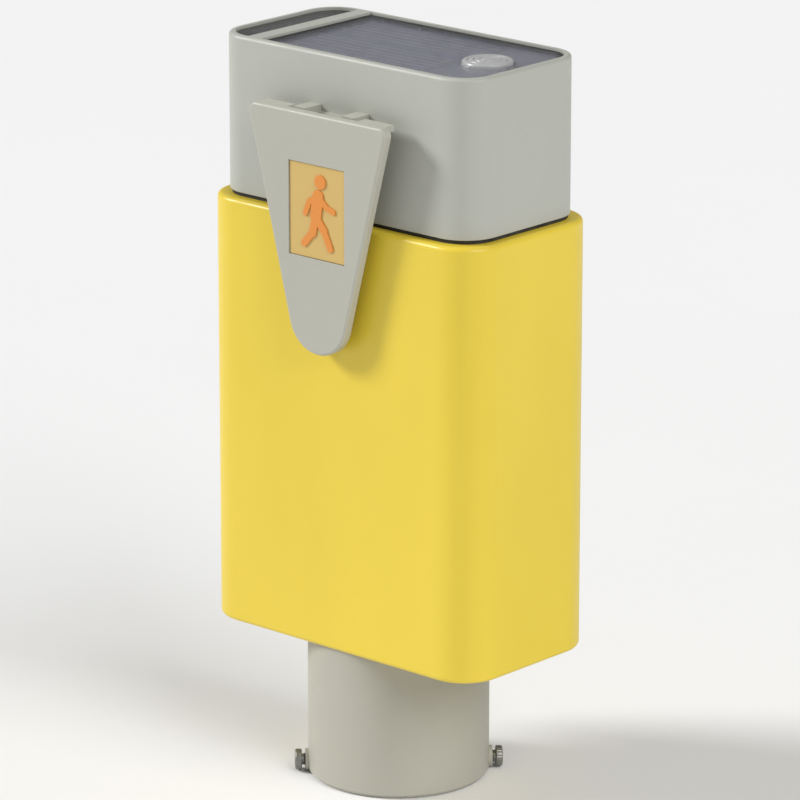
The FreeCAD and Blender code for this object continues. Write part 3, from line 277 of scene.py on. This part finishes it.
MATERIALS = {
    "tube_grey": lambda: plastic("tube_grey", TUBE_COLOUR, 0.46),
    "housing_yellow": lambda: plastic("housing_yellow", YELLOW, 0.36, 0.7 * MM, 0.008 * MM, dust=0.06,
                                      worn=rgb(250, 228, 120)),
    "cap_grey": lambda: plastic("cap_grey", CAP_COLOUR, 0.44),
    "paddle_grey": lambda: plastic("paddle_grey", PADDLE_COLOUR, 0.42, wear=0.5),
    "badge_amber": lambda: plastic("badge_amber", rgb(208, 176, 104), 0.34, 0.3 * MM, 0.004 * MM),
    "figure_orange": lambda: plastic("figure_orange", rgb(224, 140, 56), 0.34, 0.3 * MM, 0.004 * MM,
                                     wear=0.6),
    "seal_rubber": lambda: rubber("seal_rubber", rgb(34, 34, 33)),
    "stainless": lambda: metal("stainless", rgb(196, 196, 192)),
    "zinc": lambda: metal("zinc", rgb(176, 180, 184), 0.36, (1.0, 1.0, 1.0)),
    "clamp_zinc": lambda: metal("clamp_zinc", rgb(150, 150, 146), 0.4, (1.0, 1.0, 1.0), 0.6),
    "brass": lambda: metal("brass", rgb(206, 172, 96), 0.3),
    "dark_plastic": lambda: plastic("dark_plastic", rgb(40, 41, 43), 0.5, 0.35 * MM, 0.02 * MM),
    "panel_dark": lambda: plastic("panel_dark", rgb(130, 132, 146), 0.4, 0.3 * MM, 0.004 * MM),
    "solar_cell": lambda: silicon("solar_cell"),
    "cover_glass": lambda: glass("cover_glass", (0.93, 0.95, 0.98, 1.0), 0.10, 0.004 * MM, alpha=0.45),
    "smoked_window": lambda: glass("smoked_window", (0.27, 0.29, 0.29, 1.0), 0.05, 0.004 * MM),
    "lens_white": lambda: frosted("lens_white", rgb(188, 188, 188)),
    "diode_clear": lambda: frosted("diode_clear", rgb(236, 232, 214)),
    "board_green": lambda: board("board_green"),
    "component_black": lambda: plastic("component_black", rgb(34, 34, 35), 0.45, 0.3 * MM, 0.01 * MM),
    "button_red": lambda: plastic("button_red", rgb(176, 40, 32), 0.35, 0.3 * MM, 0.004 * MM),
    "battery_blue": lambda: plastic("battery_blue", rgb(52, 92, 150), 0.3, 2.0 * MM, 0.02 * MM),
}


made = {}


def finish_of(slot):
    """The material for a record slot, made once."""
    if slot not in made:
        made[slot] = MATERIALS[slot]()
    return made[slot]


def dress_frame():
    """Give every CAD node the material of its slot."""
    slots = {entry["node"]: entry["material_slot"] for entry in frame["record"]["subparts"]}
    for node, obj in frame["nodes"].items():
        finish = finish_of(slots[node])
        for material_slot in obj.material_slots:
            material_slot.material = finish


# ------------------------------------------------------------------ pieces made here

TURNS = 144


def piece(name, points, faces, body, slot, sharp=35.0):
    """A new mesh that rides on a body and takes its finish from a record slot."""
    mesh = bpy.data.meshes.new(name)
    mesh.from_pydata([tuple(point) for point in points], [], faces)
    shape = bmesh.new()
    shape.from_mesh(mesh)
    bmesh.ops.recalc_face_normals(shape, faces=shape.faces)
    shape.to_mesh(mesh)
    shape.free()
    for face in mesh.polygons:
        face.use_smooth = True
    mesh.set_sharp_from_angle(angle=math.radians(sharp))
    mesh.materials.append(finish_of(slot))
    obj = bpy.data.objects.new(name, mesh)
    bpy.context.collection.objects.link(obj)
    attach(obj, body)
    return obj


def spun(outline, frame_of, ring=False, turns=TURNS):
    """Points and faces of an outline spun about local Z. Each outline entry is (radius or function, height).

    A zero radius makes a pole; ring=True joins the last entry to the first."""
    points, rows = [], []
    for radius, height in outline:
        row = []
        if radius == 0:
            row = [len(points)] * turns
            points.append(frame_of @ Vector((0.0, 0.0, height)))
        else:
            for step in range(turns):
                angle = 2.0 * math.pi * step / turns
                reach = radius(angle) if callable(radius) else radius
                row.append(len(points))
                points.append(frame_of @ Vector((reach * math.cos(angle), reach * math.sin(angle), height)))
        rows.append(row)
    faces = []
    pairs = list(zip(rows, rows[1:])) + ([(rows[-1], rows[0])] if ring else [])
    for low, high in pairs:
        for step in range(turns):
            following = (step + 1) % turns
            corners = []
            for corner in (low[step], low[following], high[following], high[step]):
                if corner not in corners:
                    corners.append(corner)
            if len(corners) > 2:
                faces.append(corners)
    return points, faces


def facing(place, direction):
    """Local Z points along a direction, from a place."""
    return Matrix.Translation(place) @ Vector(direction).to_track_quat("Z", "Y").to_matrix().to_4x4()


def prism(outline, low, high):
    """Points and faces of a flat outline (x, y) raised from one height to another."""
    count = len(outline)
    points = [(x, y, height) for height in (low, high) for x, y in outline]
    faces = [list(range(count)), list(range(count, 2 * count))]
    faces += [[i, (i + 1) % count, count + (i + 1) % count, count + i] for i in range(count)]
    return points, faces


def joined(solids):
    """The points and faces of several solids as one list of each."""
    points, faces = [], []
    for more_points, more_faces in solids:
        base = len(points)
        points += more_points
        faces += [[base + corner for corner in face] for face in more_faces]
    return points, faces


def middle(low, high):
    """The middle of a box."""
    return [(a + b) / 2.0 for a, b in zip(low, high)]


def bellows():
    """A rubber bellows in place of the plain boot, between the paddle's plunger and its bush."""
    low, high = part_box("plunger_boot")
    centre = middle(low, high)
    outer, inner, length = (high[0] - low[0]) / 2.0, 3.4 * MM, high[1] - low[1]
    folds, fold_depth, fold_steps, wall = 3, 1.5 * MM, 8, 0.45 * MM
    outside, inside = [], []
    for step in range(folds * fold_steps + 1):
        along = step / (folds * fold_steps)
        wave = 0.5 - 0.5 * math.cos(2.0 * math.pi * folds * along)
        radius = outer - fold_depth + fold_depth * wave
        outside.append((radius, along * length))
        inside.append((max(inner, radius - wall), along * length))
    seat = facing((centre[0], low[1], centre[2]), (0, 1, 0))
    points, faces = spun(outside + inside[::-1], seat, ring=True, turns=72)
    boot = piece("plunger_bellows", points, faces, "enclosure", "seal_rubber", sharp=80.0)
    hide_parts("plunger_boot")
    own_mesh(boot)


def coil_spring():
    """The return spring as a wound wire with closed end coils."""
    low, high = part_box("return_spring")
    centre = middle(low, high)
    wire, travel, slack = 0.45 * MM, 2.2 * MM, 0.2 * MM
    winding = (high[0] - low[0]) / 2.0 - wire
    length = high[1] - low[1] - 2.0 * wire
    turns, closed, steps, sides = 7.0, 1.0, 40, 14
    close_pitch = 2.04 * wire
    open_pitch = (length - 2.0 * closed * close_pitch) / (turns - 2.0 * closed)
    points, faces = [], []
    count = int(turns * steps)
    for step in range(count + 1):
        turn = step / steps
        open_turns = min(max(turn - closed, 0.0), turns - 2.0 * closed)
        height = (turn - open_turns) * close_pitch + open_turns * open_pitch
        angle = 2.0 * math.pi * turn
        out = Vector((math.cos(angle), 0.0, math.sin(angle)))
        spot = Vector((centre[0], low[1] + wire + height, centre[2])) + out * winding
        for side in range(sides):
            around = 2.0 * math.pi * side / sides
            points.append(spot + (out * math.cos(around) + Vector((0.0, 1.0, 0.0)) * math.sin(around)) * wire)
    for step in range(count):
        for side in range(sides):
            following = (side + 1) % sides
            faces.append([step * sides + side, step * sides + following,
                          (step + 1) * sides + following, (step + 1) * sides + side])
    faces += [list(range(sides)), list(range(count * sides, (count + 1) * sides))]
    coil = piece("return_spring_coil", points, faces, "enclosure", "stainless", sharp=60.0)
    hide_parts("return_spring")
    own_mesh(coil)


def ribbed_lens():
    """The status lens with a flange, a soft shoulder and stepped rings on its crown."""
    low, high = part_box("status_lens")
    centre = middle(low, high)
    flange, crown, stem = (high[0] - low[0]) / 2.0, 3.9 * MM, 7.8 * MM
    foot = high[2] - crown
    outline = [
        (0, low[2] - foot), (stem, low[2] - foot), (stem, 0.0), (flange, 0.0), (flange, 0.8 * MM),
        (flange - 0.2 * MM, 1.0 * MM), (flange - 0.7 * MM, 1.0 * MM), (flange - 0.8 * MM, 2.7 * MM),
        (flange - 1.1 * MM, 3.2 * MM), (flange - 1.7 * MM, 3.45 * MM),
    ]
    # three grooves, each with a flat bottom, from the outside in: (radius, height) in mm
    for radius, height in ((7.9, 3.5), (5.6, 3.72), (3.3, 3.84)):
        outline += [(radius * MM, height * MM), ((radius - 0.25) * MM, (height - 0.35) * MM),
                    ((radius - 0.6) * MM, (height - 0.35) * MM), ((radius - 0.85) * MM, (height + 0.04) * MM)]
    outline += [(0, crown)]
    points, faces = spun(outline, Matrix.Translation((centre[0], centre[1], foot)))
    lens = piece("status_lens_ribbed", points, faces, "enclosure", "lens_white", sharp=25.0)
    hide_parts("status_lens")


def cell_strings():
    """Solar cells with cut corners on a thin back sheet, and tinned ribbons that string them together."""
    low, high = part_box("solar_cells")
    columns, gap, lane, chamfer = 5, 1.2 * MM, 1.6 * MM, 1.8 * MM
    ribbon, bus = 1.0 * MM, 1.2 * MM
    foot = low[2]
    pitch = (high[0] - low[0] + gap) / columns
    depth = (high[1] - low[1] - lane) / 2.0
    cells, ribbons = [], []
    for start_y in (low[1], high[1] - depth):
        end_y = start_y + depth
        for column in range(columns):
            start_x = low[0] + column * pitch
            end_x = start_x + pitch - gap
            outline = [
                (start_x + chamfer, start_y), (end_x - chamfer, start_y), (end_x, start_y + chamfer),
                (end_x, end_y - chamfer), (end_x - chamfer, end_y), (start_x + chamfer, end_y),
                (start_x, end_y - chamfer), (start_x, start_y + chamfer),
            ]
            cells.append(prism(outline, foot + 0.05 * MM, foot + 0.2 * MM))
        for share in (0.2, 0.5, 0.8):
            along = start_y + share * depth
            ribbons.append(strip(low[0], high[0], along - ribbon / 2, along + ribbon / 2, foot + 0.205 * MM))
        for end in (low[0], high[0] - bus):
            ribbons.append(strip(end, end + bus, start_y + 0.15 * depth, end_y - 0.15 * depth,
                                 foot + 0.25 * MM))
    sheet = prism([(low[0], low[1]), (high[0], low[1]), (high[0], high[1]), (low[0], high[1])],
                  foot + 0.01 * MM, foot + 0.04 * MM)
    panel = piece("solar_cell_strings", *joined(cells), "enclosure", "solar_cell")
    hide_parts("solar_cells")
    piece("cell_back_sheet", *sheet, "enclosure", "panel_dark")
    piece("cell_ribbons", *joined(ribbons), "enclosure", "stainless")


def strip(left, right, front, back, foot):
    """A tinned strip, 0.04 mm thick, lying over the cells."""
    return prism([(left, front), (right, front), (right, back), (left, back)], foot, foot + 0.04 * MM)


def clamp_screw(side, toward):
    """A cap screw with a knurled head, a six-sided socket and a threaded shank."""
    node = f"clamp_screw_{side}"
    low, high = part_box(node)
    head = (high[2] - low[2]) / 2.0
    shank, root = 2.5 * MM, 0.35 * MM
    far = max(abs(low[0]), abs(high[0])) / DIAGONAL - head
    near = min(abs(low[0]), abs(high[0])) / DIAGONAL + shank
    length, head_length, pitch = far - near, 2.6 * MM, 0.8 * MM
    seat = length - head_length

    def knurl(angle):
        return head - 0.16 * MM * (0.5 + 0.5 * math.cos(24 * angle))

    def socket(angle):
        return 2.0 * MM * math.cos(math.pi / 6) / math.cos(angle % (math.pi / 3) - math.pi / 6)

    outline = [(0, 0.0), (shank - 0.6 * MM, 0.0), (shank - root, 0.3 * MM)]
    at = 0.4 * MM
    while at + pitch < seat - 0.2 * MM:
        outline += [(shank - root, at), (shank, at + 0.35 * pitch), (shank, at + 0.5 * pitch),
                    (shank - root, at + 0.85 * pitch)]
        at += pitch
    outline += [(shank - 0.3 * MM, seat), (head - 0.3 * MM, seat), (knurl, seat + 0.25 * MM),
                (knurl, length - 0.45 * MM), (head - 0.25 * MM, length - 0.2 * MM), (head - 0.6 * MM, length),
                (socket, length), (socket, length - 1.5 * MM), (0, length - 1.6 * MM)]
    centre = Vector((toward[0] * near, toward[1] * near, (low[2] + high[2]) / 2.0))
    points, faces = spun(outline, facing(centre, (toward[0], toward[1], 0.0)))
    screw = piece(f"clamp_cap_screw_{side}", points, faces, node, "clamp_zinc", sharp=30.0)
    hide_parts(node)


# ------------------------------------------------------------------ stage, light and camera

def soft_sun(name, azimuth, elevation, strength, spread):
    """A soft sun. Azimuth is seen from above, 0 straight in front of the paddle, positive to its right."""
    lamp = bpy.data.lights.new(name, "SUN")
    lamp.energy = strength
    lamp.angle = math.radians(spread)
    side, up = math.radians(azimuth), math.radians(elevation)
    away = Vector((math.sin(side) * math.cos(up), -math.cos(side) * math.cos(up), math.sin(up)))
    obj = bpy.data.objects.new(name, lamp)
    obj.location = away
    obj.rotation_euler = away.to_track_quat("Z", "Y").to_euler()
    bpy.context.collection.objects.link(obj)


def stage():
    """A pale floor, a white room and two soft suns, the stronger from the left of the front."""
    floor_mesh = bpy.data.meshes.new("floor")
    builder = bmesh.new()
    bmesh.ops.create_grid(builder, x_segments=1, y_segments=1, size=300.0)
    builder.to_mesh(floor_mesh)
    builder.free()
    floor = bpy.data.objects.new("floor", floor_mesh)
    floor.location.z = CAD_LOW[2] - 0.1 * MM
    bpy.context.collection.objects.link(floor)
    graph = Graph("floor_pale")
    speckle = graph.noise(0.3, 3.0)
    graph.set(Base_Color=graph.mix(speckle, (0.86, 0.86, 0.86, 1.0), (0.89, 0.89, 0.89, 1.0)), Roughness=0.9)
    floor_mesh.materials.append(graph.material)

    world = bpy.data.worlds.new("white_room")
    bpy.context.scene.world = world
    world.use_nodes = True
    tree = world.node_tree
    lighting = tree.nodes["Background"]
    lighting.inputs["Color"].default_value = (1.0, 1.0, 1.0, 1.0)
    lighting.inputs["Strength"].default_value = 0.30
    # past the floor's horizon the room looks as pale as the floor does
    beyond = tree.nodes.new("ShaderNodeBackground")
    beyond.inputs["Color"].default_value = (1.0, 1.0, 1.0, 1.0)
    beyond.inputs["Strength"].default_value = 0.89
    rays = tree.nodes.new("ShaderNodeLightPath")
    choice = tree.nodes.new("ShaderNodeMixShader")
    tree.links.new(rays.outputs["Is Camera Ray"], choice.inputs["Fac"])
    tree.links.new(lighting.outputs["Background"], choice.inputs[1])
    tree.links.new(beyond.outputs["Background"], choice.inputs[2])
    tree.links.new(choice.outputs["Shader"], tree.nodes["World Output"].inputs["Surface"])

    soft_sun("key", -56.0, 30.0, 2.45, 17.0)
    soft_sun("fill", 80.0, 38.0, 1.75, 40.0)
    bpy.context.scene.view_settings.view_transform = "Standard"


def camera():
    """A long lens from the front right, a little above, aimed just under the middle of the unit."""
    azimuth, elevation = math.radians(42.0), math.radians(16.8)
    aim = Vector((0.0, 0.0, 0.140))
    distance = 2.081
    back = Vector((math.sin(azimuth) * math.cos(elevation), -math.cos(azimuth) * math.cos(elevation),
                   math.sin(elevation)))
    lens = bpy.data.cameras.new("camera")
    lens.sensor_width = 36.0
    lens.lens = 246.2
    lens.shift_x, lens.shift_y = 0.0016, 0.0274
    lens.clip_start, lens.clip_end = 0.05, 100.0
    view = bpy.data.objects.new("camera", lens)
    view.location = aim + back * distance
    view.rotation_euler = (-back).to_track_quat("-Z", "Y").to_euler()
    bpy.context.collection.objects.link(view)
    bpy.context.scene.camera = view


stage()
camera()
dress_frame()
bellows()
coil_spring()
ribbed_lens()
cell_strings()
clamp_screw("left", (-DIAGONAL, -DIAGONAL))
clamp_screw("right", (DIAGONAL, DIAGONAL))
